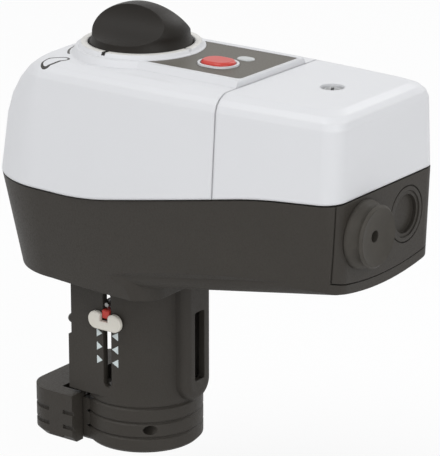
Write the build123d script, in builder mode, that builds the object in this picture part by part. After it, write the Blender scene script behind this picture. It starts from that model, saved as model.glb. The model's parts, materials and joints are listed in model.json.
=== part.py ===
from build123d import *

import os
from math import acos, cos, pi, radians, sin, sqrt, tan

os.makedirs("parts", exist_ok=True)

# Electric valve actuator, in millimetres.
# The origin is on the spindle axis at the foot of the neck, where a valve seats.
# +Z runs up the spindle, +X runs along the head to its cable end, -Y is the slot side.

# Head: outline and heights
head_top = 140.6
head_low = 94.0
cable_end = 101.0
side_half_low = 34.3
side_half_top = 30.9
side_belly = 1.2
belly_x = 25.0
end_draw = 1.8
rear_centre = -19.5
rear_reach_low = 34.2
rear_reach_top = 26.5
end_corner = 7.0
least_corner = 0.6
side_round = 6.0
rear_round = 26.0
cover_wall = 2.2

# Seam between the pale covers and the dark housing
seam_rear = 96.0
seam_bend_1 = (1.0, seam_rear)
seam_bend_2 = (72.0, 109.0)
seam_end = (110.0, 111.6)
seam_radii = (120.0, 170.0)
seam_gap = 0.6
cover_split = 54.8
split_gap = 0.4
lip_gap = 0.2
lip_wall = 1.6
lip_reach = 3.0
lip_root = 5.0
lip_lap = 1.0
gasket_inset = 1.0

# Dark housing
housing_wall = 2.4
housing_deck = 62.0
form_high = 112.0
form_low = 60.0
rear_flare = 2.8
rear_taper = 10.1
belly_step = 0.1
belly_taper = 5.1
end_step = 1.0
end_taper = 3.3
rear_reach_high = rear_reach_low + rear_flare
rear_reach_deep = rear_reach_high - rear_taper
belly_half_high = side_half_low + side_belly - belly_step
belly_half_deep = belly_half_high - belly_taper
side_half_high = side_half_low - end_draw - end_step
side_half_deep = side_half_high - end_taper
nose_front = 25.0
nose_half = 30.6
nose_corner = 10.0
keel_slope = 0.172
keel_crown = 2.6
keel_crown_half = 26.0
keel_edge = 7.6
keel_edge_half = 30.5

# Neck, slot and windows
neck_half = 21.0
neck_back = 16.0
neck_wall = 2.5
neck_foot = 19.6
slot_width = 3.5
slot_low = 23.4
slot_high = 58.7
back_window_half = 13.5
back_window_high = 57.0
bulge_front = 24.6
bulge_half = 7.5
bulge_round = 2.9
bulge_low = 17.5
window_width = 5.6
window_low = 25.5
window_high = 51.0

# Collar and valve seat
valve_neck_r = 11.05
valve_seat = 14.0
seat_plate = 2.0
stem_gate_r = 9.9
collar_flat = 14.5
collar_throat = 9.0
collar_chamfer = 1.2
collar_ear_half = 18.2
collar_ear_front = -8.0
rib_pitch = 5.6
rib_depth = 0.75

# Clamp bow with its screw
bow_back = 35.0
bow_half = 24.5
bow_ear = 13.5
bow_corner = 10.0
bow_height = 18.0
bow_rear_wall = 12.3
bow_side_wall = 6.0
bow_travel = 3.0
bow_chamfer = 2.4
screw_y = 15.2
screw_z = 8.8
screw_r = 2.5
screw_head_r = 2.9
screw_head_x = 2.0
screw_head_length = 3.6
screw_key = 2.5
screw_tip = -23.5
key_hole_r = 1.75
nut_size = 8.0
nut_thickness = 4.0
nut_back = -22.0
lug_back = -24.0
lug_front = -17.8
lug_inner = 11.2
saddle_low = 1.5
guide_pin_r = 2.0
guide_pin_back = -24.0
guide_pin_depth = 4.0

# Spindle drive
spindle_r = 5.0
spindle_low = 45.0
spindle_high = 126.0
fit_gap = 0.05
hub_r = 8.0
hub_low = 86.0
hub_high = 113.0
gear_module = 0.7
drive_teeth = 50
idler_small_teeth = 15
idler_large_teeth = 36
pinion_teeth = 15
backlash = 0.12
gear_width = 4.5
drive_gear_z = 97.0
idler_wheel_z = 92.0
idler_wheel_width = 3.5
plate_low = 88.0
broad_x = 4.0
broad_length = 50.0
broad_width = 48.0
broad_corner = 5.0
narrow_x = 27.0
narrow_length = 54.0
narrow_width = 39.6
narrow_corner = 3.0
plate_high = 106.0
plate_thickness = 1.6
bush_wall = 2.0
idler_pin_r = 1.5
motor_r = 14.0
motor_base = 72.8
motor_clearance = 0.5808
motor_edge_r = 1.5
motor_boss_r = 3.0
motor_boss_gap = 0.1
motor_bore_floor = 7.5
motor_shaft_foot = 8.0
motor_shaft_spare = 1.0
motor_shaft_r = 1.0

# Stem connector and its clip
connector_r = 9.5
connector_low = 36.0
connector_high = 54.0
stem_r = 4.5
stem_depth = 9.0
arm_width = 3.0
arm_low = 48.0
arm_high = 55.6
arm_reach = 18.4
pointer_low = 49.0
pointer_high = 52.4
pointer_reach = 21.7
pointer_pin_r = 0.8
pointer_pin_z = 54.2
clip_wire_r = 1.4
clip_z = 40.9
clip_leg_y = 6.5
clip_ear_y = 10.6
clip_back = 25.4

# Travel indicator
marker_lobe_r = 3.2
marker_lobe_x = 3.9
marker_z = 48.4
marker_thickness = 1.6
marker_gap = 0.3

# Manual knob and its ring
knob_r = 18.0
knob_low = 142.4
knob_waist_r = 16.9
knob_waist = 147.9
knob_top = 157.8
grip_half = 2.7
grip_cut_r = 14.5
grip_cut_z = 161.0
ring_inner_r = 18.5
ring_outer_r = 21.6
ring_top = 144.5
well_floor = 141.7
notch_depth = 0.9
notch_r = ring_inner_r + 1.0
near_notch_width = 1.3
near_notch_length = 4.2
front_notch_width = 1.0
front_notch_length = 3.2
shaft_r = 6.9
shaft_bore_r = 5.6
shaft_top = 147.0
shaft_gap = 0.4
seal_wire_r = 0.8

# Raised field with panel, button and lens
field_top = 143.0
field_half = 19.2
field_ring_r = 24.0
field_draft = 30.0
field_foot = 0.8
panel_half = 16.9
panel_front = 53.8
panel_ring_r = 22.3
panel_thickness = 0.75
panel_sink = 0.15
panel_corner = 1.5
panel_gap = 0.1
button_x = 36.4
button_y = -5.0
button_length = 12.4
button_width = 9.6
button_gap = 0.25
button_rim = 0.9
button_top = 144.4
button_rim_rise = 0.4
button_travel = 0.8
lens_x = 40.2
lens_y = 5.5
lens_length = 6.6
lens_width = 4.8
lens_top = 143.2
key_board_z = 126.4
key_board_x = 40.0
key_board_length = 26.0
key_board_width = 35.0
key_board_corner = 1.5
switch_size = 6.0
switch_top = 131.0

# Cable end
plate_half = 28.0
plate_side = 84.3
plate_foot = 81.4
plate_inset = 3.0
plate_rim = 0.35
entry_pitch = 26.0
entry_middle = -1.0
entry_z = 98.0
entry_hole_r = 8.0
ring_groove_r = 9.9
grommet_flange_r = 11.5
grommet_flange = 1.8
grommet_neck_r = 10.0
grommet_disc_r = 10.6
grommet_reach = 6.2
grommet_waist_r = 7.7
grommet_barb_r = 9.1
grommet_tail = 5.2
grommet_mouth = 4.6
plug_web = 1.0
plug_wall = 1.3
plug_sink = 0.4
ring_groove_depth = 0.6
ring_groove_width = 0.5
entry_edge = 0.5
disc_edge = 0.9
dish_rise = 0.5
cable_hole_r = 2.0

# Service compartment
cover_screw_x = 79.0
cover_screw_r = 1.75
cover_screw_head_r = 3.4
cover_recess_r = 4.0
cover_recess_depth = 3.0
cover_recess_wall = 1.8
cover_recess_floor = 2.0
cover_screw_sink = 0.6
cover_screw_edge = 0.8
cover_cross_depth = 1.4
cover_cross_length = 4.6
cover_cross_width = 1.0
cover_cross_turn = 30
cover_screw_length = 16.0
cover_post_gap = 4.5
cover_screw_spare = 2.0
board_z = 112.0
board_thickness = 1.6
board_rear = 57.5
board_front = 95.0
board_half = 26.0
terminal_pitch = 5.0
terminal_count = 6
terminal_x = 89.0
terminal_depth = 8.0
terminal_height = 10.0
terminal_side = 1.0
wire_stop_x = 88.0
wire_opening = 3.4
wire_rise = 3.2
screw_well_x = 88.6
screw_well_r = 1.7
screw_well_rise = 6.0
switch_pitch = 2.54

# Fastener places
frame_posts = [(-16.0, 20.5), (-16.0, -20.5), (48.0, 16.5), (48.0, -16.5)]
rear_posts = [(-34.0, 13.5), (-34.0, -13.5)]
front_posts = [(50.5, 24.5), (50.5, -24.5)]
board_posts = [(62.0, 22.0), (62.0, -22.0), (91.0, 21.0), (91.0, -21.0)]
key_posts = [(29.0, 15.0), (29.0, -15.0), (51.0, 15.0), (51.0, -15.0)]
neck_posts = [(-11.0, 15.4), (-11.0, -15.4), (11.5, 11.5), (11.5, -11.5)]
post_r = 3.2
slim_post_r = 2.2
deep_post_r = 4.4
pillar_r = 2.5
small_screw_r = 1.5
small_head_r = 2.7
small_head_height = 2.2
screw_length = 28.0
screw_spare = 1.0
screw_slack = 0.1
head_slack = 0.3
cross_length = 3.6
cross_width = 0.8
cross_depth = 1.2
neck_screw_length = 10.0
floor_hole_gap = 1.0
rear_screw_z = 84.0
front_screw_z = 92.0

bulk = 120.0


def eased(base, radius, z, top):
    """Half width at height z of a wall that rolls over to a flat top."""
    share = max(0.0, (z - (top - radius)) / radius)
    return base - radius * (1 - sqrt(max(0.0, 1 - share * share)))


def cover_form(inset):
    """Outer form of the two pale covers, drawn in by inset."""
    top = head_top - inset
    steps = [0.0, 23.0, 30.0, 36.0, 41.0, 43.3, 45.2, 46.5, head_top - head_low]
    with BuildPart() as form:
        for step in steps:
            share = step / (head_top - head_low)
            z = head_low + (top - head_low) * share
            side_base = side_half_low + (side_half_top - side_half_low) * share - inset
            rear_base = rear_reach_low + (rear_reach_top - rear_reach_low) * share - inset
            half = eased(side_base, side_round - inset, z, top)
            reach = eased(rear_base, rear_round - inset, z, top)
            end = eased(cable_end - inset, side_round - inset, z, top)
            corner = max(end_corner - inset, least_corner)
            side = half - end_draw
            bulge = half + side_belly
            with BuildSketch(Plane.XY.offset(z)):
                with BuildLine():
                    EllipticalCenterArc((rear_centre, 0), reach, half, start_angle=90, arc_size=180)
                    ThreePointArc((rear_centre, -half), (belly_x, -bulge), (end - corner, -side))
                    JernArc((end - corner, -side), (1, 0), corner, 90)
                    Line((end, -side + corner), (end, side - corner))
                    JernArc((end, side - corner), (0, 1), corner, 90)
                    ThreePointArc((end - corner, side), (belly_x, bulge), (rear_centre, half))
                make_face()
        loft(ruled=True)
    return form.part


def cover_slice(inset, x_from, x_to):
    """Part of the cover form between two places along X."""
    with BuildPart() as piece:
        add(cover_form(inset))
        with Locations(((x_from + x_to) / 2, 0, head_low)):
            Box(x_to - x_from, bulk, bulk, mode=Mode.INTERSECT)
    return piece.part


def seam_wire(shift):
    """Seam line seen from the side, raised by shift."""
    points = [
        (-bulk, seam_rear + shift),
        (seam_bend_1[0], seam_bend_1[1] + shift),
        (seam_bend_2[0], seam_bend_2[1] + shift),
        (seam_end[0], seam_end[1] + shift),
    ]
    return FilletPolyline(*points, radius=seam_radii)


def seam_side(shift, upper):
    """Everything above or below the seam line raised by shift."""
    far = 2 * bulk if upper else 0.0
    with BuildPart() as side:
        with BuildSketch(Plane.XZ):
            with BuildLine():
                line = seam_wire(shift)
                Polyline(line @ 1, (seam_end[0], far), (-bulk, far), line @ 0)
            make_face()
        extrude(amount=bulk, both=True)
    return side.part


def keel_height(x):
    """Height of the sloping underside on the centre line."""
    return keel_end - keel_slope * (cable_end - x)


def keel_cut(lift):
    """Space under the sloping, crowned underside, raised by lift."""
    start = cable_end + 10.0
    run = start + 60.0
    z = keel_height(start) + lift
    side = z + keel_crown
    edge = z + keel_edge
    middle = ((keel_crown_half + 3 * keel_edge_half) / 4, (2 * side + edge) / 3)
    far = (bulk, edge + bulk)
    slope = Plane(origin=(start, 0, 0), x_dir=(0, 1, 0), z_dir=(-1, 0, -keel_slope))
    with BuildPart() as cut:
        with BuildSketch(Plane.YZ.offset(start)):
            with BuildLine() as rim:
                ThreePointArc((-keel_crown_half, side), (0, z), (keel_crown_half, side))
                ThreePointArc((keel_crown_half, side), middle, (keel_edge_half, edge))
                Polyline((keel_edge_half, edge), far, (bulk, -bulk), (0, -bulk))
                ThreePointArc((-keel_crown_half, side), (-middle[0], middle[1]), (-keel_edge_half, edge))
                Polyline((-keel_edge_half, edge), (-far[0], far[1]), (-bulk, -bulk), (0, -bulk))
            make_face()
        extrude(amount=run * sqrt(1 + keel_slope * keel_slope), dir=slope.z_dir)
    return cut.part


def housing_form(inset):
    """Tapered form of the dark housing with its stepped underside, drawn in by inset."""
    rows = [
        (form_low, rear_reach_deep, belly_half_deep, side_half_deep),
        (form_high, rear_reach_high, belly_half_high, side_half_high),
    ]
    end = cable_end - inset
    corner = max(end_corner - inset, least_corner)
    with BuildPart() as form:
        for z, reach, belly, half in rows:
            rear = reach - inset
            side = half - inset
            with BuildSketch(Plane.XY.offset(z)):
                with BuildLine():
                    ThreePointArc((rear_centre, rear), (rear_centre - rear, 0), (rear_centre, -rear))
                    ThreePointArc((rear_centre, -rear), (belly_x, inset - belly), (end - corner, -side))
                    JernArc((end - corner, -side), (1, 0), corner, 90)
                    Line((end, -side + corner), (end, side - corner))
                    JernArc((end, side - corner), (0, 1), corner, 90)
                    ThreePointArc((end - corner, side), (belly_x, belly - inset), (rear_centre, rear))
                make_face()
        loft(ruled=True)
        add(keel_nose_cut(inset), mode=Mode.SUBTRACT)
    return form.part


def keel_nose_cut(inset):
    """Space under the housing: below the deck of the nose and below the keel ahead of it."""
    front = nose_front - inset
    with BuildPart() as cut:
        add(keel_cut(inset))
        with BuildSketch(Plane.XY):
            with Locations((front - bulk, 0)):
                RectangleRounded(2 * bulk, 2 * (nose_half - inset), nose_corner)
        extrude(amount=2 * bulk, mode=Mode.SUBTRACT)
        with Locations((0, 0, housing_deck + inset)):
            Box(4 * bulk, 2 * bulk, bulk, align=(Align.CENTER, Align.CENTER, Align.MAX))
    return cut.part


def plate_outline(grow):
    """Outline of the gland plate seen along X, widened by grow."""
    half = plate_half + grow
    low = plate_side - grow
    with BuildSketch() as plan:
        with BuildLine():
            ThreePointArc((-half, low), (0, plate_foot - grow), (half, low))
            Polyline((half, low), (half, form_high), (-half, form_high), (-half, low))
        make_face()
    return plan.sketch


def neck_plan(inset):
    """Plan of the neck: straight flanks behind the axis, half round ahead of it."""
    half = neck_half - inset
    back = inset - neck_back
    with BuildSketch() as plan:
        with BuildLine():
            ThreePointArc((0, -half), (half, 0), (0, half))
            Line((0, half), (back, half))
            Line((back, half), (back, -half))
            Line((back, -half), (0, -half))
        make_face()
    return plan.sketch


def bow_plan(inset):
    """Plan of the clamp bow: a broad U open towards the collar."""
    outer = bow_half - inset
    back = inset - bow_back
    corner = bow_corner - inset
    inner = bow_half - bow_side_wall
    throat = bow_rear_wall - bow_back
    with BuildSketch() as plan:
        with BuildLine():
            Line((-bow_ear, -inner), (-bow_ear, -outer))
            Line((-bow_ear, -outer), (back + corner, -outer))
            JernArc((back + corner, -outer), (-1, 0), corner, -90)
            Line((back, -outer + corner), (back, outer - corner))
            JernArc((back, outer - corner), (0, 1), corner, -90)
            Line((back + corner, outer), (-bow_ear, outer))
            Line((-bow_ear, outer), (-bow_ear, inner))
            Line((-bow_ear, inner), (throat, inner))
            Line((throat, inner), (throat, -inner))
            Line((throat, -inner), (-bow_ear, -inner))
        make_face()
    return plan.sketch


def gear_outline(teeth, phase):
    """Outline of a stub toothed gear with involute flanks, first tooth at phase degrees."""
    pitch_r = gear_module * teeth / 2
    base_r = pitch_r * cos(radians(20))
    tip_r = pitch_r + 0.8 * gear_module
    root_r = pitch_r - 1.1 * gear_module
    half_tooth = pi / (2 * teeth) - backlash / (2 * pitch_r)

    def half_angle(r):
        pressure = acos(min(1.0, base_r / max(r, base_r)))
        at_pitch = tan(radians(20)) - radians(20)
        return half_tooth + at_pitch - (tan(pressure) - pressure)

    def spot(r, angle):
        return (r * cos(angle), r * sin(angle))

    middle_r = (root_r + tip_r) / 2
    with BuildSketch() as plan:
        with BuildLine():
            for i in range(teeth):
                centre = radians(phase) + 2 * pi * i / teeth
                after = centre + 2 * pi / teeth
                root, middle, tip = half_angle(root_r), half_angle(middle_r), half_angle(tip_r)
                ThreePointArc(
                    spot(root_r, centre - root),
                    spot(middle_r, centre - middle),
                    spot(tip_r, centre - tip),
                )
                Line(spot(tip_r, centre - tip), spot(tip_r, centre + tip))
                ThreePointArc(
                    spot(tip_r, centre + tip),
                    spot(middle_r, centre + middle),
                    spot(root_r, centre + root),
                )
                Line(spot(root_r, centre + root), spot(root_r, after - root))
        make_face()
    return plan.sketch


drive_to_idler = gear_module * (drive_teeth + idler_small_teeth) / 2
idler_to_motor = gear_module * (idler_large_teeth + pinion_teeth) / 2
idler_x = drive_to_idler
motor_x = drive_to_idler + idler_to_motor
motor_edge = motor_x + motor_r
keel_end = motor_base - motor_clearance - housing_wall + keel_slope * (cable_end - motor_edge)

outer_cover = cover_form(0.0)
inner_cover = cover_form(cover_wall)
outer_housing = housing_form(0.0)
above_seam = seam_side(seam_gap / 2, True)
below_seam = seam_side(-seam_gap / 2, False)

half_pitch_turn = 180.0 / pinion_teeth
panel_seat = field_top - panel_thickness - panel_sink
cover_ceiling = head_top - cover_wall
seal_floor = cover_ceiling + 0.6
grommet_y = entry_middle - entry_pitch / 2
knockout_y = entry_middle + entry_pitch / 2

# Lip of the rear cover that reaches under the service cover
with BuildPart() as cover_lip:
    add(cover_slice(cover_wall, cover_split - lip_root, cover_split - split_gap / 2))
    add(cover_slice(cover_wall + lip_gap, cover_split - lip_lap, cover_split + lip_reach))
    add(
        cover_slice(
            cover_wall + lip_wall,
            cover_split - lip_root - lip_lap,
            cover_split + lip_reach + lip_lap,
        ),
        mode=Mode.SUBTRACT,
    )
    add(above_seam, mode=Mode.INTERSECT)

# Screw bosses that hang inside the rear cover
with BuildPart() as cover_bosses:
    with BuildSketch(Plane.XY.offset(head_low)):
        with Locations(*rear_posts, *front_posts):
            Circle(post_r)
    extrude(amount=head_top - head_low)
    add(cover_form(cover_wall / 2), mode=Mode.INTERSECT)

# Rear cover: a domed shell with the raised field, the knob ring and the panel seat
with BuildPart() as rear_cover:
    add(outer_cover)
    for z, rise, draft in [(cover_ceiling, cover_wall, 0.0), (head_top, field_top - head_top, field_draft)]:
        with BuildSketch(Plane.XY.offset(z)):
            Circle(field_ring_r)
        extrude(amount=rise, taper=draft)
        with BuildSketch(Plane.XY.offset(z)):
            with Locations(((cover_split + field_foot) / 2, 0)):
                Rectangle(cover_split + field_foot, 2 * (field_half + field_foot))
        extrude(amount=rise, taper=draft)
    with BuildSketch(Plane.XY.offset(field_top)):
        Circle(ring_outer_r)
    extrude(amount=ring_top - field_top, taper=field_draft)
    add(inner_cover, mode=Mode.SUBTRACT)
    with BuildSketch(Plane.XY.offset(well_floor)):
        Circle(ring_inner_r)
    extrude(amount=bulk, mode=Mode.SUBTRACT)
    with BuildSketch(Plane.XY.offset(panel_seat)):
        with Locations((panel_front / 2, 0)):
            RectangleRounded(panel_front, 2 * panel_half, panel_corner)
        Circle(panel_ring_r, mode=Mode.SUBTRACT)
        with Locations((button_x, button_y)):
            SlotOverall(
                button_length + 2 * (button_gap + button_rim),
                button_width + 2 * (button_gap + button_rim),
                mode=Mode.SUBTRACT,
            )
    extrude(amount=bulk, mode=Mode.SUBTRACT)
    with BuildSketch(Plane.XY.offset(cover_ceiling)):
        with Locations((button_x, button_y)):
            SlotOverall(
                button_length + 2 * (button_gap + button_rim),
                button_width + 2 * (button_gap + button_rim),
            )
    extrude(amount=field_top + button_rim_rise - cover_ceiling)
    with BuildSketch(Plane.XY.offset(cover_ceiling)):
        with Locations(*key_posts):
            Circle(slim_post_r)
    extrude(amount=key_board_z + board_thickness - cover_ceiling)
    with BuildSketch(Plane.XY.offset(cover_ceiling - cover_wall)):
        Circle(shaft_r + shaft_gap)
        with Locations((button_x, button_y)):
            SlotOverall(button_length + 2 * button_gap, button_width + 2 * button_gap)
        with Locations((lens_x, lens_y)):
            SlotOverall(lens_length, lens_width)
    extrude(amount=bulk, mode=Mode.SUBTRACT)
    with BuildSketch(Plane.XY.offset(seal_floor)):
        Circle(shaft_r + 2 * seal_wire_r + 3 * fit_gap)
    extrude(amount=2 * (seal_wire_r + fit_gap), mode=Mode.SUBTRACT)
    with BuildSketch(Plane.XY.offset(ring_top - notch_depth)):
        with Locations((0, -notch_r)):
            Rectangle(near_notch_width, near_notch_length)
        with Locations((notch_r, 0)):
            Rectangle(front_notch_length, front_notch_width)
    extrude(amount=bulk, mode=Mode.SUBTRACT)
    add(cover_bosses.part)
    for posts, z in [(rear_posts, rear_screw_z), (front_posts, front_screw_z)]:
        with BuildSketch(Plane.XY.offset(z)):
            with Locations(*posts):
                Circle(small_screw_r)
        extrude(amount=screw_length + screw_spare, mode=Mode.SUBTRACT)
    add(above_seam, mode=Mode.INTERSECT)
    split(bisect_by=Plane.YZ.offset(cover_split - split_gap / 2), keep=Keep.BOTTOM)
    add(cover_lip.part)
rear_cover.part.label = "rear_cover"
export_step(rear_cover.part, "parts/rear_cover.step")

# Service cover: the pale shell over the cable end
with BuildPart() as service_cover:
    add(outer_cover)
    add(inner_cover, mode=Mode.SUBTRACT)
    with BuildSketch(Plane.XY.offset(cover_ceiling - cover_recess_depth - cover_recess_floor)):
        with Locations((cover_screw_x, 0)):
            Circle(cover_recess_r + cover_recess_wall)
    extrude(amount=cover_recess_depth + cover_recess_floor)
    with BuildSketch(Plane.XY.offset(head_top - cover_recess_depth)):
        with Locations((cover_screw_x, 0)):
            Circle(cover_recess_r)
    extrude(amount=bulk, mode=Mode.SUBTRACT)
    with BuildSketch(Plane.XY.offset(form_high)):
        with Locations((cover_screw_x, 0)):
            Circle(cover_screw_r + fit_gap)
    extrude(amount=bulk, mode=Mode.SUBTRACT)
    add(above_seam, mode=Mode.INTERSECT)
    split(bisect_by=Plane.YZ.offset(cover_split + split_gap / 2), keep=Keep.TOP)
service_cover.part.label = "service_cover"
export_step(service_cover.part, "parts/service_cover.step")

# Service screw: cross slotted, sunk in its recess
with BuildPart() as service_screw:
    with BuildSketch(Plane.XY.offset(head_top - cover_recess_depth)):
        with Locations((cover_screw_x, 0)):
            Circle(cover_screw_head_r)
    extrude(amount=cover_recess_depth - cover_screw_sink)
    fillet(service_screw.edges().filter_by(GeomType.CIRCLE).group_by(Axis.Z)[-1], cover_screw_edge)
    with BuildSketch(Plane.XY.offset(head_top - cover_screw_sink - cover_cross_depth)):
        with Locations((cover_screw_x, 0)):
            Rectangle(cover_cross_length, cover_cross_width, rotation=cover_cross_turn)
            Rectangle(cover_cross_width, cover_cross_length, rotation=cover_cross_turn)
    extrude(amount=cover_recess_depth, mode=Mode.SUBTRACT)
    with BuildSketch(Plane.XY.offset(head_top - cover_recess_depth)):
        with Locations((cover_screw_x, 0)):
            Circle(cover_screw_r)
    extrude(amount=-cover_screw_length)
service_screw.part.label = "service_screw"
export_step(service_screw.part, "parts/service_screw.step")

# Seam gasket: a thin ring that follows the stepped seam
with BuildPart() as housing_gasket:
    add(cover_form(gasket_inset))
    add(inner_cover, mode=Mode.SUBTRACT)
    add(seam_side(-seam_gap / 2, True), mode=Mode.INTERSECT)
    add(seam_side(seam_gap / 2, False), mode=Mode.INTERSECT)
housing_gasket.part.label = "housing_gasket"
export_step(housing_gasket.part, "parts/housing_gasket.step")

# Lower housing: tapered tub with a stepped, crowned underside and a seat for the gland plate
with BuildPart() as lower_housing:
    add(outer_housing)
    add(housing_form(housing_wall), mode=Mode.SUBTRACT)
    with BuildSketch(Plane.YZ.offset(cable_end - plate_inset - housing_wall)):
        add(plate_outline(housing_wall))
    extrude(amount=housing_wall + plate_inset)
    with BuildSketch(Plane.XY.offset(housing_deck)):
        with Locations(*rear_posts, *front_posts):
            Circle(deep_post_r)
    extrude(amount=form_high - housing_deck)
    add(outer_housing, mode=Mode.INTERSECT)
    add(below_seam, mode=Mode.INTERSECT)
    with BuildSketch(Plane.XY.offset(housing_deck)):
        with Locations(*frame_posts):
            Circle(post_r)
    extrude(amount=plate_low - housing_deck)
    with BuildSketch(Plane.XY.offset(housing_deck)):
        with Locations(*board_posts):
            Circle(post_r)
    extrude(amount=board_z - housing_deck)
    with BuildSketch(Plane.XY.offset(housing_deck)):
        with Locations((cover_screw_x, 0)):
            Circle(post_r)
    extrude(amount=head_top - cover_recess_depth - cover_post_gap - housing_deck)
    add(keel_nose_cut(0.0), mode=Mode.SUBTRACT)
    with BuildSketch(Plane.YZ.offset(cable_end - plate_inset)):
        add(plate_outline(plate_rim))
    extrude(amount=2 * plate_inset, mode=Mode.SUBTRACT)
    with BuildSketch(Plane.YZ.offset(cable_end - 4 * plate_inset)):
        add(plate_outline(-plate_inset))
    extrude(amount=5 * plate_inset, mode=Mode.SUBTRACT)
    for posts, z in [(rear_posts, rear_screw_z), (front_posts, front_screw_z)]:
        with BuildSketch(Plane.XY):
            with Locations(*posts):
                Circle(small_head_r + head_slack)
        extrude(amount=z, mode=Mode.SUBTRACT)
    with BuildSketch(Plane.XY):
        with Locations(*rear_posts, *front_posts, *neck_posts):
            Circle(small_screw_r + screw_slack)
        Circle(spindle_r + floor_hole_gap)
    extrude(amount=bulk, mode=Mode.SUBTRACT)
    with BuildSketch(Plane.XY.offset(head_top - cover_recess_depth - cover_screw_length - cover_screw_spare)):
        with Locations((cover_screw_x, 0)):
            Circle(cover_screw_r + fit_gap)
    extrude(amount=bulk, mode=Mode.SUBTRACT)
lower_housing.part.label = "lower_housing"
export_step(lower_housing.part, "parts/lower_housing.step")

# Housing screws: they rise from below into the posts of the rear cover
with BuildPart() as housing_screws:
    for posts, z in [(rear_posts, rear_screw_z), (front_posts, front_screw_z)]:
        with BuildSketch(Plane.XY.offset(z)):
            with Locations(*posts):
                Circle(small_head_r)
        extrude(amount=-small_head_height)
        with BuildSketch(Plane.XY.offset(z)):
            with Locations(*posts):
                Circle(small_screw_r)
        extrude(amount=screw_length)
        with BuildSketch(Plane.XY.offset(z - small_head_height)):
            with Locations(*posts):
                Rectangle(cross_length, cross_width)
                Rectangle(cross_width, cross_length)
        extrude(amount=cross_depth, mode=Mode.SUBTRACT)
housing_screws.part.label = "housing_screws"
export_step(housing_screws.part, "parts/housing_screws.step")

# Gland plate: one entry open for the grommet, the other with a ringed recess
with BuildPart() as gland_plate:
    with BuildSketch(Plane.YZ.offset(cable_end - plate_inset)):
        add(plate_outline(0.0))
    extrude(amount=plate_inset)
    add(outer_housing, mode=Mode.INTERSECT)
    add(below_seam, mode=Mode.INTERSECT)
    with BuildSketch(Plane.YZ.offset(cable_end - 2 * plate_inset)):
        with Locations((grommet_y, entry_z), (knockout_y, entry_z)):
            Circle(entry_hole_r)
    extrude(amount=3 * plate_inset, mode=Mode.SUBTRACT)
    with BuildSketch(Plane.YZ.offset(cable_end - ring_groove_depth)):
        with Locations((knockout_y, entry_z)):
            Circle(ring_groove_r)
            Circle(ring_groove_r - ring_groove_width, mode=Mode.SUBTRACT)
    extrude(amount=plate_inset, mode=Mode.SUBTRACT)
gland_plate.part.label = "gland_plate"
export_step(gland_plate.part, "parts/gland_plate.step")

# Knock-out plug: a thin web with a raised rim in the second entry
with BuildPart() as knockout_plug:
    with BuildSketch(Plane.YZ.offset(cable_end - plate_inset)):
        with Locations((knockout_y, entry_z)):
            Circle(entry_hole_r)
    extrude(amount=plate_inset - plug_sink)
    with BuildSketch(Plane.YZ.offset(cable_end - plate_inset + plug_web)):
        with Locations((knockout_y, entry_z)):
            Circle(entry_hole_r - plug_wall)
    extrude(amount=plate_inset, mode=Mode.SUBTRACT)
knockout_plug.part.label = "knockout_plug"
export_step(knockout_plug.part, "parts/knockout_plug.step")

# Cable grommet: turned about its own axis, with a waist in the plate and a dished nose
with BuildPart() as cable_grommet:
    with BuildSketch(Plane.XY):
        with BuildLine():
            Polyline(
                (cable_hole_r, -grommet_tail),
                (grommet_waist_r, -grommet_tail),
                (grommet_barb_r, -plate_inset),
                (grommet_waist_r, -plate_inset),
                (grommet_waist_r, 0.0),
                (grommet_flange_r, 0.0),
            )
            ThreePointArc(
                (grommet_flange_r, 0.0),
                (grommet_flange_r, grommet_flange / 2),
                (grommet_flange_r - entry_edge, grommet_flange),
            )
            ThreePointArc(
                (grommet_flange_r - entry_edge, grommet_flange),
                (grommet_neck_r, (grommet_flange + grommet_reach) / 2),
                (grommet_disc_r, grommet_reach - disc_edge),
            )
            Line((grommet_disc_r, grommet_reach - disc_edge), (grommet_disc_r - disc_edge, grommet_reach))
            ThreePointArc(
                (grommet_disc_r - disc_edge, grommet_reach),
                ((grommet_disc_r + cable_hole_r) / 2, grommet_mouth + dish_rise),
                (cable_hole_r, grommet_mouth),
            )
            Line((cable_hole_r, grommet_mouth), (cable_hole_r, -grommet_tail))
        make_face()
    revolve(axis=Axis.Y)
cable_grommet.part = Pos(cable_end, grommet_y, entry_z) * Rot(0, 0, -90) * cable_grommet.part
cable_grommet.part.label = "cable_grommet"
export_step(cable_grommet.part, "parts/cable_grommet.step")

# Neck: slotted tube with a windowed bulge, a back window, and the collar that holds the valve
with BuildPart() as neck_bulge:
    with BuildSketch(Plane.YZ.offset(neck_wall)):
        with Locations((0, bulge_low + bulge_half)):
            Circle(bulge_half)
        with Locations((0, (bulge_low + bulge_half + housing_deck) / 2)):
            Rectangle(2 * bulge_half, housing_deck - bulge_low - bulge_half)
    extrude(amount=bulge_front - neck_wall)
    front_rim = neck_bulge.faces().sort_by(Axis.X)[-1].edges()
    fillet(front_rim.group_by(Axis.Z)[0] + front_rim.filter_by(Axis.Z), bulge_round)

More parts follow.
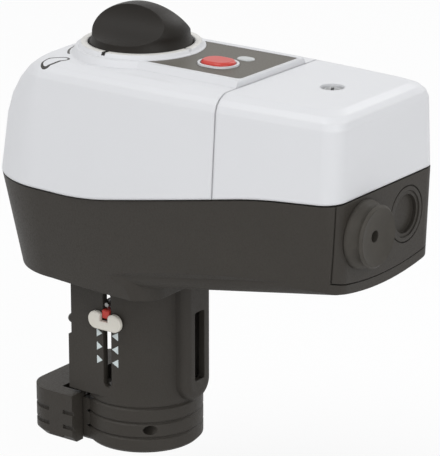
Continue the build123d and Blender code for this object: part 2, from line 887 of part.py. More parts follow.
with BuildPart() as neck:
    with BuildSketch(Plane.XY):
        Circle(neck_half)
        with Locations((collar_ear_front, 0)):
            Rectangle(neck_half, 2 * collar_ear_half, align=(Align.MAX, Align.CENTER))
    extrude(amount=neck_foot)
    with BuildSketch(Plane.XZ):
        with Locations(*[(neck_half, neck_foot - 2.8 - i * rib_pitch) for i in range(3)]):
            Rectangle(2 * rib_depth / sqrt(2), 2 * rib_depth / sqrt(2), rotation=45)
    revolve(axis=Axis.Z, mode=Mode.SUBTRACT)
    chamfer(neck.edges().group_by(Axis.Z)[0], collar_chamfer)
    with Locations((-collar_flat, 0, 0)):
        Box(bulk, bulk, bulk, align=(Align.MAX, Align.CENTER, Align.CENTER), mode=Mode.SUBTRACT)
    with BuildSketch(Plane.XY.offset(neck_foot)):
        add(neck_plan(0.0))
        with Locations((-neck_back - 0.65, neck_half - 3.5), (-neck_back - 0.65, 3.5 - neck_half)):
            Rectangle(1.3, 7.0)
    extrude(amount=housing_deck - neck_foot)
    with BuildSketch(Plane.XY.offset(39.9)):
        with Locations((-neck_back, 0)):
            Rectangle(2.6, 2 * neck_half)
        add(neck_plan(0.0), mode=Mode.SUBTRACT)
    extrude(amount=bulk, mode=Mode.SUBTRACT)
    add(neck_bulge.part)
    with BuildSketch(Plane.XY.offset(valve_seat + seat_plate)):
        add(neck_plan(neck_wall))
    extrude(amount=slot_high - valve_seat - seat_plate, mode=Mode.SUBTRACT)
    with BuildSketch(Plane.XY.offset(slot_high - 9.0)):
        with Locations(*neck_posts):
            Circle(post_r)
    extrude(amount=9.0)
    with BuildSketch(Plane.XY.offset(slot_high - 9.0)):
        with Locations(*neck_posts):
            Circle(small_screw_r)
    extrude(amount=bulk, mode=Mode.SUBTRACT)
    with BuildSketch(Plane.XY.offset(slot_high)):
        Circle(connector_r + 2.0)
    extrude(amount=bulk, mode=Mode.SUBTRACT)
    with BuildSketch(Plane.YZ.offset(neck_half - neck_wall - 4.0)):
        with Locations((0, bulge_low + bulge_half)):
            Circle(bulge_half - neck_wall)
        with Locations((0, (bulge_low + bulge_half + slot_high) / 2)):
            Rectangle(2 * (bulge_half - neck_wall), slot_high - bulge_low - bulge_half)
    extrude(amount=bulge_front - neck_half + 4.0, mode=Mode.SUBTRACT)
    with BuildSketch(Plane.YZ.offset(neck_half - neck_wall)):
        with Locations((0, (window_low + window_high) / 2)):
            RectangleRounded(window_width, window_high - window_low, 0.8)
    extrude(amount=bulk, mode=Mode.SUBTRACT)
    with BuildSketch(Plane.XZ.offset(neck_half - neck_wall - 4.0)):
        with Locations((0, (slot_low + slot_high) / 2)):
            SlotOverall(slot_high - slot_low, slot_width, rotation=90)
    extrude(amount=bulk, mode=Mode.SUBTRACT)
    with Locations((-neck_back, 0, valve_seat + seat_plate)):
        Box(
            2 * neck_wall + 2.0,
            2 * back_window_half,
            back_window_high - valve_seat - seat_plate,
            align=(Align.CENTER, Align.CENTER, Align.MIN),
            mode=Mode.SUBTRACT,
        )
    with BuildSketch(Plane.XY):
        Circle(valve_neck_r)
        with Locations((-collar_flat, 0)):
            Rectangle(2 * collar_flat, 2 * collar_throat)
    extrude(amount=valve_seat, mode=Mode.SUBTRACT)
    with BuildSketch(Plane.XY):
        Circle(stem_gate_r)
    extrude(amount=valve_seat + seat_plate, mode=Mode.SUBTRACT)
    with BuildSketch(Plane.XY):
        with Locations((screw_head_x + screw_head_length / 2, -screw_y)):
            Rectangle(screw_head_length + 0.4, 2 * (screw_head_r + 0.2))
    extrude(amount=screw_z, mode=Mode.SUBTRACT)
    for x_from, length, r in [
        (-collar_flat - 1.0, collar_flat + 1.0 + screw_head_x, screw_r + 2 * fit_gap),
        (screw_head_x - 0.2, screw_head_length + 0.4, screw_head_r + 0.2),
        (screw_head_x, bulk, key_hole_r),
    ]:
        with BuildSketch(Plane.YZ.offset(x_from)):
            with Locations((-screw_y, screw_z)):
                Circle(r)
        extrude(amount=length, mode=Mode.SUBTRACT)
    with BuildSketch(Plane.YZ.offset(-collar_flat - 1.0)):
        with Locations((screw_y, screw_z)):
            Circle(guide_pin_r)
    extrude(amount=collar_flat + 1.0 - guide_pin_depth, mode=Mode.SUBTRACT)
neck.part.label = "neck"
export_step(neck.part, "parts/neck.step")

# Neck screws: from the floor of the housing into the posts of the neck
with BuildPart() as neck_screws:
    deck_top = housing_deck + housing_wall
    with BuildSketch(Plane.XY.offset(deck_top)):
        with Locations(*neck_posts):
            Circle(small_head_r)
    extrude(amount=small_head_height)
    with BuildSketch(Plane.XY.offset(deck_top)):
        with Locations(*neck_posts):
            Circle(small_screw_r)
    extrude(amount=-neck_screw_length)
    with BuildSketch(Plane.XY.offset(deck_top + small_head_height - cross_depth)):
        with Locations(*neck_posts):
            Rectangle(cross_length, cross_width)
            Rectangle(cross_width, cross_length)
    extrude(amount=small_head_height, mode=Mode.SUBTRACT)
neck_screws.part.label = "neck_screws"
export_step(neck_screws.part, "parts/neck_screws.step")

# Clamp bow: broad ribbed U with a saddle for the valve neck, a nut pocket and a guide hole
with BuildPart() as clamp_bow:
    with BuildSketch(Plane.XY):
        add(bow_plan(0.0))
    extrude(amount=bow_height)
    chamfer(clamp_bow.edges().group_by(Axis.Z)[0].sort_by(Axis.X)[0:3], bow_chamfer)
    for z in [neck_foot - 2.8 - rib_pitch, neck_foot - 2.8 - 2 * rib_pitch]:
        with BuildSketch(Plane.XY.offset(z - rib_depth)):
            add(bow_plan(0.0))
            add(bow_plan(rib_depth), mode=Mode.SUBTRACT)
        extrude(amount=2 * rib_depth, mode=Mode.SUBTRACT)
    with BuildSketch(Plane.XY.offset(saddle_low)):
        with Locations((bow_rear_wall - bow_back, 0)):
            Rectangle(bow_back, 2 * collar_throat - 1.0, align=(Align.MIN, Align.CENTER))
        with Locations((-bow_travel, 0)):
            Circle(valve_neck_r - fit_gap, mode=Mode.SUBTRACT)
            Rectangle(2 * valve_neck_r, 4 * valve_neck_r, align=(Align.MIN, Align.CENTER), mode=Mode.SUBTRACT)
    extrude(amount=valve_seat - 2 * saddle_low)
    with BuildSketch(Plane.XY.offset(saddle_low)):
        for side in (1, -1):
            with Locations((lug_back, side * (bow_half + lug_inner) / 2)):
                Rectangle(lug_front - lug_back, bow_half - lug_inner, align=(Align.MIN, Align.CENTER))
    extrude(amount=valve_seat - saddle_low)
    for x_from, x_to, y, r in [
        (screw_tip - bow_travel - 1.0, lug_front + 1.0, -screw_y, screw_r + fit_gap),
        (guide_pin_back - bow_travel - 1.0, lug_front + 1.0, screw_y, guide_pin_r + fit_gap),
    ]:
        with BuildSketch(Plane.YZ.offset(x_from)):
            with Locations((y, screw_z)):
                Circle(r)
        extrude(amount=x_to - x_from, mode=Mode.SUBTRACT)
    with Locations((nut_back, -screw_y, 0)):
        Box(
            nut_thickness,
            nut_size,
            screw_z + nut_size / 2,
            align=(Align.MIN, Align.CENTER, Align.MIN),
            mode=Mode.SUBTRACT,
        )
clamp_bow.part.label = "clamp_bow"
export_step(clamp_bow.part, "parts/clamp_bow.step")

# Square nut in the pocket of the bow
with BuildPart() as clamp_nut:
    with BuildSketch(Plane.YZ.offset(nut_back)):
        with Locations((-screw_y, screw_z)):
            Rectangle(nut_size, nut_size)
            Circle(screw_r + fit_gap, mode=Mode.SUBTRACT)
    extrude(amount=nut_thickness)
clamp_nut.part.label = "clamp_nut"
export_step(clamp_nut.part, "parts/clamp_nut.step")

# Clamp screw: its head lies in the pocket of the collar, with a hexagon socket to the cable side
with BuildPart() as clamp_screw:
    with BuildSketch(Plane.YZ.offset(screw_tip)):
        with Locations((-screw_y, screw_z)):
            Circle(screw_r)
    extrude(amount=screw_head_x - screw_tip)
    with BuildSketch(Plane.YZ.offset(screw_head_x)):
        with Locations((-screw_y, screw_z)):
            Circle(screw_head_r)
    extrude(amount=screw_head_length)
    with BuildSketch(Plane.YZ.offset(screw_head_x + 1.4)):
        with Locations((-screw_y, screw_z)):
            RegularPolygon(screw_key / 2, 6, major_radius=False)
    extrude(amount=screw_head_length, mode=Mode.SUBTRACT)
clamp_screw.part.label = "clamp_screw"
export_step(clamp_screw.part, "parts/clamp_screw.step")

# Guide pin on the other side of the collar
with BuildPart() as guide_pin:
    with BuildSketch(Plane.YZ.offset(guide_pin_back)):
        with Locations((screw_y, screw_z)):
            Circle(guide_pin_r)
    extrude(amount=-guide_pin_depth - guide_pin_back)
    chamfer(guide_pin.faces().sort_by(Axis.X)[0].edges(), 0.5)
guide_pin.part.label = "guide_pin"
export_step(guide_pin.part, "parts/guide_pin.step")

# Spindle
with BuildPart() as spindle:
    with BuildSketch(Plane.XY.offset(spindle_low)):
        Circle(spindle_r)
    extrude(amount=spindle_high - spindle_low)
    chamfer(spindle.faces().sort_by(Axis.Z)[-1].edges(), 1.0)
spindle.part.label = "spindle"
export_step(spindle.part, "parts/spindle.step")

# Stem connector: socket for the valve stem below, spindle above, pointer arm to the slot
with BuildPart() as stem_connector:
    with BuildSketch(Plane.XY.offset(connector_low)):
        Circle(connector_r)
    extrude(amount=connector_high - connector_low)
    chamfer(stem_connector.edges().filter_by(GeomType.CIRCLE).group_by(Axis.Z)[0], 0.8)
    with Locations((0, -arm_reach, arm_low)):
        Box(arm_width, arm_reach, arm_high - arm_low, align=(Align.CENTER, Align.MIN, Align.MIN))
    with BuildSketch(Plane.XY.offset(connector_low)):
        Circle(stem_r)
    extrude(amount=stem_depth, mode=Mode.SUBTRACT)
    with BuildSketch(Plane.XY.offset(spindle_low)):
        Circle(spindle_r)
    extrude(amount=bulk, mode=Mode.SUBTRACT)
    with BuildSketch(Plane.YZ.offset(-connector_r - 1.0)):
        with Locations((-clip_leg_y, clip_z), (clip_leg_y, clip_z)):
            Circle(clip_wire_r + fit_gap)
    extrude(amount=2 * connector_r + 2.0, mode=Mode.SUBTRACT)
    with BuildSketch(Plane.XZ.offset(arm_reach - 3.0)):
        with Locations((0, pointer_pin_z)):
            Circle(pointer_pin_r)
    extrude(amount=4.0, mode=Mode.SUBTRACT)
stem_connector.part.label = "stem_connector"
export_step(stem_connector.part, "parts/stem_connector.step")

# Position pointer: red key at the end of the arm, in the slot
with BuildPart() as position_pointer:
    with Locations((0, -arm_reach, pointer_low)):
        Box(
            arm_width,
            pointer_reach - arm_reach,
            pointer_high - pointer_low,
            align=(Align.CENTER, Align.MAX, Align.MIN),
        )
    chamfer(position_pointer.faces().sort_by(Axis.Y)[0].edges().filter_by(Axis.X), 0.5)
position_pointer.part.label = "position_pointer"
export_step(position_pointer.part, "parts/position_pointer.step")

# Steel pin above the pointer
with BuildPart() as pointer_pin:
    with BuildSketch(Plane.XZ.offset(arm_reach - 3.0)):
        with Locations((0, pointer_pin_z)):
            Circle(pointer_pin_r)
    extrude(amount=pointer_reach - arm_reach + 2.4)
pointer_pin.part.label = "pointer_pin"
export_step(pointer_pin.part, "parts/pointer_pin.step")

# Travel indicator: two lobes joined by a bar, with a key in the slot
with BuildPart() as travel_indicator:
    bar_low = marker_z - marker_lobe_r
    with BuildSketch(Plane.XZ.offset(neck_half + marker_gap)):
        with Locations((-marker_lobe_x, marker_z), (marker_lobe_x, marker_z)):
            Circle(marker_lobe_r)
        with Locations((0, bar_low)):
            Rectangle(2 * marker_lobe_x, 3.4, align=(Align.CENTER, Align.MIN))
        with Locations((0, arm_low + 0.4)):
            Rectangle(arm_width + 0.6, bulk, align=(Align.CENTER, Align.MIN), mode=Mode.SUBTRACT)
    extrude(amount=marker_thickness)
    lobe_rims = travel_indicator.faces().sort_by(Axis.Y)[0].edges().filter_by(GeomType.CIRCLE)
    chamfer(lobe_rims, 0.4)
    with Locations((0, -neck_half - marker_gap, bar_low)):
        Box(
            slot_width - 0.6,
            neck_wall + marker_gap,
            arm_low - 0.1 - bar_low,
            align=(Align.CENTER, Align.MIN, Align.MIN),
        )
travel_indicator.part.label = "travel_indicator"
export_step(travel_indicator.part, "parts/travel_indicator.step")

# Stem clip: bent wire with flared legs, pushed through the connector from behind
with BuildPart() as stem_clip:
    ear_x = -connector_r - 10.5
    with BuildLine(Plane.XY.offset(clip_z)) as clip_path:
        FilletPolyline(
            (connector_r - 0.5, clip_leg_y),
            (-connector_r - 4.0, clip_leg_y),
            (ear_x, clip_ear_y),
            (-clip_back, clip_ear_y),
            (-clip_back, -clip_ear_y),
            (ear_x, -clip_ear_y),
            (-connector_r - 4.0, -clip_leg_y),
            (connector_r - 0.5, -clip_leg_y),
            radius=2.4,
        )
    with BuildSketch(Plane.YZ.offset(connector_r - 0.5)):
        with Locations((clip_leg_y, clip_z)):
            Circle(clip_wire_r)
    sweep(path=clip_path.line)
stem_clip.part.label = "stem_clip"
export_step(stem_clip.part, "parts/stem_clip.step")

# Drive gear: toothed rim, web and long hub that carries the spindle nut
with BuildPart() as drive_gear:
    with BuildSketch(Plane.XY.offset(drive_gear_z)):
        add(gear_outline(drive_teeth, 0.0))
    extrude(amount=gear_width)
    with BuildSketch(Plane.XY.offset(hub_low)):
        Circle(hub_r)
    extrude(amount=hub_high - hub_low)
    with BuildSketch(Plane.XY.offset(drive_gear_z + gear_width - 1.2)):
        Circle(gear_module * drive_teeth / 2 - 2.0)
        Circle(hub_r + 1.5, mode=Mode.SUBTRACT)
    extrude(amount=5.0, mode=Mode.SUBTRACT)
    with BuildSketch(Plane.XY):
        Circle(spindle_r + fit_gap)
    extrude(amount=2 * bulk, mode=Mode.SUBTRACT)
drive_gear.part.label = "drive_gear"
export_step(drive_gear.part, "parts/drive_gear.step")

# Idler gear: wheel driven by the motor pinion, small gear to the drive gear
with BuildPart() as idler_gear:
    with BuildSketch(Plane.XY.offset(idler_wheel_z)):
        add(gear_outline(idler_large_teeth, 0.0))
    extrude(amount=idler_wheel_width)
    with BuildSketch(Plane.XY.offset(idler_wheel_z + idler_wheel_width)):
        add(gear_outline(idler_small_teeth, 180.0 + half_pitch_turn))
    extrude(amount=drive_gear_z + gear_width + 0.8 - idler_wheel_z - idler_wheel_width)
    with BuildSketch(Plane.XY.offset(idler_wheel_z)):
        Circle(idler_pin_r + fit_gap)
    extrude(amount=bulk, mode=Mode.SUBTRACT)
idler_gear.part = Pos(idler_x, 0, 0) * idler_gear.part
idler_gear.part.label = "idler_gear"
export_step(idler_gear.part, "parts/idler_gear.step")

# Motor pinion on its shaft
with BuildPart() as motor_pinion:
    with BuildSketch(Plane.XY.offset(idler_wheel_z - 0.8)):
        add(gear_outline(pinion_teeth, 180.0 + half_pitch_turn))
    extrude(amount=idler_wheel_width + 1.4)
    with BuildSketch(Plane.XY.offset(motor_base + motor_shaft_foot)):
        Circle(motor_shaft_r)
    extrude(amount=idler_wheel_z + motor_shaft_spare - motor_base - motor_shaft_foot)
motor_pinion.part = Pos(motor_x, 0, 0) * motor_pinion.part
motor_pinion.part.label = "motor_pinion"
export_step(motor_pinion.part, "parts/motor_pinion.step")

# Drive motor: can with a boss, hung under the lower plate
with BuildPart() as drive_motor:
    with BuildSketch(Plane.XY.offset(motor_base)):
        with Locations((motor_x, 0)):
            Circle(motor_r)
    extrude(amount=plate_low - motor_base)
    fillet(drive_motor.edges().filter_by(GeomType.CIRCLE).group_by(Axis.Z)[0], motor_edge_r)
    with BuildSketch(Plane.XY.offset(plate_low)):
        with Locations((motor_x, 0)):
            Circle(motor_boss_r)
    extrude(amount=plate_thickness)
    with BuildSketch(Plane.XY.offset(motor_base + motor_bore_floor)):
        with Locations((motor_x, 0)):
            Circle(motor_shaft_r + fit_gap)
    extrude(amount=bulk, mode=Mode.SUBTRACT)
drive_motor.part.label = "drive_motor"
export_step(drive_motor.part, "parts/drive_motor.step")

# Idler shaft, held in both frame plates
with BuildPart() as idler_shaft:
    with BuildSketch(Plane.XY.offset(plate_low)):
        with Locations((idler_x, 0)):
            Circle(idler_pin_r)
    extrude(amount=plate_high + plate_thickness - plate_low)
idler_shaft.part.label = "idler_shaft"
export_step(idler_shaft.part, "parts/idler_shaft.step")

# Frame plates: broad round the spindle, narrower over the motor
with BuildPart() as frame_plate_lower:
    with BuildSketch(Plane.XY.offset(plate_low)):
        with Locations((broad_x, 0)):
            RectangleRounded(broad_length, broad_width, broad_corner)
        with Locations((narrow_x, 0)):
            RectangleRounded(narrow_length, narrow_width, narrow_corner)
        Circle(hub_r + bush_wall, mode=Mode.SUBTRACT)
        with Locations((motor_x, 0)):
            Circle(motor_boss_r + motor_boss_gap, mode=Mode.SUBTRACT)
        with Locations((idler_x, 0)):
            Circle(idler_pin_r, mode=Mode.SUBTRACT)
    extrude(amount=plate_thickness)
frame_plate_lower.part.label = "frame_plate_lower"
export_step(frame_plate_lower.part, "parts/frame_plate_lower.step")

with BuildPart() as frame_plate_upper:
    with BuildSketch(Plane.XY.offset(plate_high)):
        with Locations((broad_x, 0)):
            RectangleRounded(broad_length, broad_width, broad_corner)
        with Locations((narrow_x, 0)):
            RectangleRounded(narrow_length, narrow_width, narrow_corner)
        Circle(hub_r + bush_wall, mode=Mode.SUBTRACT)
        with Locations((idler_x, 0)):
            Circle(idler_pin_r, mode=Mode.SUBTRACT)
    extrude(amount=plate_thickness)
frame_plate_upper.part.label = "frame_plate_upper"
export_step(frame_plate_upper.part, "parts/frame_plate_upper.step")

# Frame pillars between the plates
with BuildPart() as frame_pillars:
    with BuildSketch(Plane.XY.offset(plate_low + plate_thickness)):
        with Locations(*frame_posts):
            Circle(pillar_r)
    extrude(amount=plate_high - plate_low - plate_thickness)
frame_pillars.part.label = "frame_pillars"
export_step(frame_pillars.part, "parts/frame_pillars.step")

# Flanged bearings of the hub
with BuildPart() as lower_bearing:
    with BuildSketch(Plane.XY.offset(plate_low - 1.2)):
        Circle(hub_r + bush_wall + 1.6)
    extrude(amount=1.2)
    with BuildSketch(Plane.XY.offset(plate_low)):
        Circle(hub_r + bush_wall)
    extrude(amount=plate_thickness + 0.8)
    with BuildSketch(Plane.XY):
        Circle(hub_r + fit_gap)
    extrude(amount=bulk, mode=Mode.SUBTRACT)
lower_bearing.part.label = "lower_bearing"
export_step(lower_bearing.part, "parts/lower_bearing.step")

with BuildPart() as upper_bearing:
    with BuildSketch(Plane.XY.offset(plate_high + plate_thickness)):
        Circle(hub_r + bush_wall + 1.6)
    extrude(amount=1.2)
    with BuildSketch(Plane.XY.offset(plate_high - 0.8)):
        Circle(hub_r + bush_wall)
    extrude(amount=plate_thickness + 0.8)
    with BuildSketch(Plane.XY):
        Circle(hub_r + fit_gap)
    extrude(amount=2 * bulk, mode=Mode.SUBTRACT)
upper_bearing.part.label = "upper_bearing"
export_step(upper_bearing.part, "parts/upper_bearing.step")

# Knob shaft: sleeve over the spindle, closed above it
with BuildPart() as knob_shaft:
    with BuildSketch(Plane.XY.offset(hub_high)):
        Circle(shaft_r)
    extrude(amount=shaft_top - hub_high)
    with BuildSketch(Plane.XY.offset(hub_high)):
        Circle(shaft_bore_r)
    extrude(amount=spindle_high + 4.0 - hub_high, mode=Mode.SUBTRACT)
knob_shaft.part.label = "knob_shaft"
export_step(knob_shaft.part, "parts/knob_shaft.step")

# Manual knob: turned dome with two round hollows that leave a grip bar
with BuildPart() as manual_knob:
    with BuildSketch(Plane.XZ):
        with BuildLine():
            Polyline(
                (0, knob_low),
                (knob_r - 0.4, knob_low),
                (knob_r, knob_low + 0.4),
                (knob_r, knob_low + 1.6),
            )
            ThreePointArc(
                (knob_r, knob_low + 1.6),
                (knob_waist_r + 0.25, (knob_low + knob_waist) / 2 + 0.9),
                (knob_waist_r, knob_waist),
            )
            EllipticalCenterArc(
                (0, knob_waist), knob_waist_r, knob_top - knob_waist, start_angle=0, arc_size=90
            )
            Line((0, knob_top), (0, knob_low))
        make_face()
    revolve(axis=Axis.Z)
    with BuildSketch(Plane.YZ.offset(-knob_r - 1.0)):
        with Locations(
            (grip_half + grip_cut_r, grip_cut_z),
            (-grip_half - grip_cut_r, grip_cut_z),
        ):
            Circle(grip_cut_r)
    extrude(amount=2 * knob_r + 2.0, mode=Mode.SUBTRACT)
    with BuildSketch(Plane.XY.offset(knob_low)):
        Circle(shaft_r)
    extrude(amount=shaft_top - knob_low, mode=Mode.SUBTRACT)
manual_knob.part.label = "manual_knob"
export_step(manual_knob.part, "parts/manual_knob.step")

# Ring seal round the knob shaft
with BuildPart() as knob_seal:
    with Locations((0, 0, seal_floor + seal_wire_r + fit_gap)):
        Torus(shaft_r + fit_gap + seal_wire_r, seal_wire_r)
knob_seal.part.label = "knob_seal"
export_step(knob_seal.part, "parts/knob_seal.step")

# Label panel: plain sunk plate with openings for the button rim and the lens
with BuildPart() as label_panel:
    with BuildSketch(Plane.XY.offset(panel_seat)):
        with Locations((panel_front / 2, 0)):
            RectangleRounded(
                panel_front - 2 * panel_gap,
                2 * (panel_half - panel_gap),
                panel_corner - panel_gap,
            )
        Circle(panel_ring_r + panel_gap, mode=Mode.SUBTRACT)
        with Locations((button_x, button_y)):
            SlotOverall(
                button_length + 2 * (button_gap + button_rim + panel_gap),
                button_width + 2 * (button_gap + button_rim + panel_gap),
                mode=Mode.SUBTRACT,
            )
        with Locations((lens_x, lens_y)):
            SlotOverall(lens_length, lens_width, mode=Mode.SUBTRACT)
    extrude(amount=panel_thickness)
    split(bisect_by=Plane.YZ, keep=Keep.TOP)
label_panel.part.label = "label_panel"
export_step(label_panel.part, "parts/label_panel.step")

# Status lens: flat oval with a light pipe down to the board
with BuildPart() as status_lens:
    with BuildSketch(Plane.XY.offset(cover_ceiling)):
        with Locations((lens_x, lens_y)):
            SlotOverall(lens_length - 0.1, lens_width - 0.1)
    extrude(amount=lens_top - cover_ceiling)
    fillet(status_lens.faces().sort_by(Axis.Z)[-1].edges(), 0.5)
    with BuildSketch(Plane.XY.offset(cover_ceiling)):
        with Locations((lens_x, lens_y)):
            Circle(1.5)
    extrude(amount=key_board_z + board_thickness + 1.0 - cover_ceiling)
status_lens.part.label = "status_lens"
export_step(status_lens.part, "parts/status_lens.step")

# Reset button: domed oval with a flange under the cover and a stem to its switch
with BuildPart() as reset_button:
    with BuildSketch(Plane.XY.offset(cover_ceiling - 0.1)):
        with Locations((button_x, button_y)):
            SlotOverall(button_length, button_width)
    extrude(amount=button_top - cover_ceiling + 0.1)
    fillet(reset_button.faces().sort_by(Axis.Z)[-1].edges(), 1.2)
    with BuildSketch(Plane.XY.offset(cover_ceiling - 1.1)):
        with Locations((button_x, button_y)):
            SlotOverall(button_length + 1.6, button_width + 1.6)
    extrude(amount=1.0)
    with BuildSketch(Plane.XY.offset(switch_top + button_travel + 0.2)):
        with Locations((button_x, button_y)):
            Circle(1.6)
    extrude(amount=cover_ceiling - 1.1 - switch_top - button_travel - 0.2)
reset_button.part.label = "reset_button"
export_step(reset_button.part, "parts/reset_button.step")

# Key board under the field, with its switch and lamp
with BuildPart() as key_board:
    with BuildSketch(Plane.XY.offset(key_board_z)):
        with Locations((key_board_x, 0)):
            RectangleRounded(key_board_length, key_board_width, key_board_corner)
    extrude(amount=board_thickness)
    with BuildSketch(Plane.XY.offset(key_board_z + board_thickness)):
        with Locations((button_x, button_y)):
            Rectangle(switch_size, switch_size)
    extrude(amount=switch_top - key_board_z - board_thickness)
key_board.part.label = "key_board"
export_step(key_board.part, "parts/key_board.step")

# Circuit board of the service compartment
with BuildPart() as circuit_board:
    with BuildSketch(Plane.XY.offset(board_z)):
        with Locations(((board_rear + board_front) / 2, 0)):
            RectangleRounded(board_front - board_rear, 2 * board_half, 2.0)
        with Locations((cover_screw_x, 0)):
            Circle(post_r + 0.6, mode=Mode.SUBTRACT)
    extrude(amount=board_thickness)
circuit_board.part.label = "circuit_board"
export_step(circuit_board.part, "parts/circuit_board.step")

# Terminal block with wire openings towards the entries and screw wells above
with BuildPart() as terminal_block:
    with BuildSketch(Plane.XY.offset(board_z + board_thickness)):
        with Locations((terminal_x, 0)):
            Rectangle(terminal_depth, terminal_count * terminal_pitch + terminal_side)
    extrude(amount=terminal_height)
    terminals = [(i - (terminal_count - 1) / 2) * terminal_pitch for i in range(terminal_count)]
    with BuildSketch(Plane.YZ.offset(wire_stop_x)):
        with Locations(*[(y, board_z + board_thickness + wire_rise) for y in terminals]):
            Rectangle(wire_opening, wire_opening)
    extrude(amount=terminal_height, mode=Mode.SUBTRACT)
    with BuildSketch(Plane.XY.offset(board_z + board_thickness + screw_well_rise)):
        with Locations(*[(screw_well_x, y) for y in terminals]):
            Circle(screw_well_r)
    extrude(amount=terminal_height, mode=Mode.SUBTRACT)
terminal_block.part.label = "terminal_block"
export_step(terminal_block.part, "parts/terminal_block.step")

# Bank of setting switches
with BuildPart() as dip_switch:
    with BuildSketch(Plane.XY.offset(board_z + board_thickness)):
        with Locations((66.0, 0)):
            Rectangle(6.4, 4 * switch_pitch + 1.0)
    extrude(amount=2.8)
    levers = [(i - 1.5) * switch_pitch for i in range(4)]
    with BuildSketch(Plane.XY.offset(board_z + board_thickness + 2.0)):
        with Locations(*[(66.0, y) for y in levers]):
            Rectangle(3.6, 1.3)
    extrude(amount=5.0, mode=Mode.SUBTRACT)
    with BuildSketch(Plane.XY.offset(board_z + board_thickness + 2.0)):
        with Locations(*[(66.8, y) for y in levers]):
            Rectangle(1.6, 1.1)
    extrude(amount=1.4)
dip_switch.part.label = "dip_switch"
export_step(dip_switch.part, "parts/dip_switch.step")
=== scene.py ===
import json
from math import cos, radians, sin

import bpy
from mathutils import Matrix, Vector


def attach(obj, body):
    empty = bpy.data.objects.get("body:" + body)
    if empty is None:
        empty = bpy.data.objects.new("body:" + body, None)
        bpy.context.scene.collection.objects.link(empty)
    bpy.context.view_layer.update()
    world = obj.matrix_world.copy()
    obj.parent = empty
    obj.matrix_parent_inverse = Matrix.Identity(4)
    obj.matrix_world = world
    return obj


MM = 0.001

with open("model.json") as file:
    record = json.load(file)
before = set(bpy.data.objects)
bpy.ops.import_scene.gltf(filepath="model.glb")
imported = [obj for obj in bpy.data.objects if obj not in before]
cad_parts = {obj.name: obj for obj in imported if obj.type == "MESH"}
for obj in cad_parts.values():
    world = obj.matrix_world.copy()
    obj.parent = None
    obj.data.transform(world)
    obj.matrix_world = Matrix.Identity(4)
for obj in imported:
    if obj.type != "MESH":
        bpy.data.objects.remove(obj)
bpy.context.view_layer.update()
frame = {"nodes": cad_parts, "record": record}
nodes = frame["nodes"]

# Camera, fitted to the photograph
CAMERA_AZIMUTH = 36.18
CAMERA_ELEVATION = 18.17
CAMERA_DISTANCE = 978.34
CAMERA_FOCAL_PIXELS = 2793.24
PHOTO_HEIGHT = 456
SENSOR_HEIGHT = 24.0
CLIP_NEAR = 0.01
CLIP_FAR = 20.0
TARGET_ALONG = 26.95
TARGET_HEIGHT = 76.73

# Places on the object, in millimetres, as in the solids
NECK_RADIUS = 21.0
MARK_HEIGHTS = (43.2, 38.2, 33.2)
MARK_HALF_HEIGHT = 1.55
MARK_NEAR = 2.1
MARK_FAR = 4.5
MARK_RISE = 0.22
MARK_SINK = 0.5
MARK_EDGE = 0.12
RING_INNER = 18.5
RING_OUTER = 20.5
RING_TOP = 144.5
RING_TONE_IN = 0.3
RING_TONE_OUT = 0.25
RING_TONE_DEEP = 0.12
# Place of the painted shade of the notch in the knob ring
NOTCH_SHADE_HALF = 0.75
NOTCH_SHADE_LOW = 142.6
NOTCH_SHADE_NEAR = RING_INNER - 1.2
NOTCH_SHADE_FAR = RING_OUTER + 0.8
SIGN_LOW = 132.0
SIGN_LINE_HALF = 0.42
TURN_RADIUS = 25.0
TURN_FROM_Y = -17.5
TURN_TO_Y = -5.0
TURN_TIP = (-24.6, -2.4)
TURN_TIP_LENGTH = 3.2
TURN_TIP_SLOPE = 0.55
OVAL_CENTRE = (-16.9, -25.9)
OVAL_HALF_LENGTH = 2.6
OVAL_HALF_WIDTH = 2.0
OVAL_LEAN = 47.0

# Finish, floor and lamps; places and sizes of these are in metres
STREAK_STRETCH = (1.0, 1.0, 12.0)
EDGE_SAMPLES = 6
SMOOTH_ANGLE = 35.0
FLOOR_SIZE = 6.0
FLOOR_HEIGHT = -0.03
FLOOR_WHITE_SHARE = 0.85
WORLD_COLOUR = (0.97, 0.98, 1.0, 1.0)
WORLD_STRENGTH = 0.45
WHITE = (1.0, 1.0, 1.0, 1.0)
LAMPS = {
    "key_light": ((-0.4, -0.9, 1.8), 1.2, 18.5),
    "fill_light": ((1.5, -0.7, 0.8), 1.4, 11.5),
    "rim_light": ((0.2, 1.4, 1.2), 1.0, 7.0),
}


# Shader maths: an expression on values adds its Math nodes
class Value:
    def __init__(self, tree, socket):
        self.tree = tree
        self.socket = socket

    def _math(self, operation, first, second=None):
        node = self.tree.nodes.new("ShaderNodeMath")
        node.operation = operation
        for place, item in enumerate((first, second)):
            if item is None:
                continue
            if isinstance(item, Value):
                self.tree.links.new(item.socket, node.inputs[place])
            else:
                node.inputs[place].default_value = item
        return Value(self.tree, node.outputs[0])

    def __add__(self, other):
        return self._math("ADD", self, other)

    def __mul__(self, other):
        return self._math("MULTIPLY", self, other)

    def __sub__(self, other):
        return self._math("SUBTRACT", self, other)

    def __rsub__(self, other):
        return self._math("SUBTRACT", other, self)

    def __gt__(self, other):
        return self._math("GREATER_THAN", self, other)

    def __lt__(self, other):
        return self._math("LESS_THAN", self, other)

    def power(self, other):
        return self._math("POWER", self, other)

    def most(self, other):
        return self._math("MAXIMUM", self, other)

    def size(self):
        return self._math("ABSOLUTE", self)

    def root(self):
        return self._math("SQRT", self)


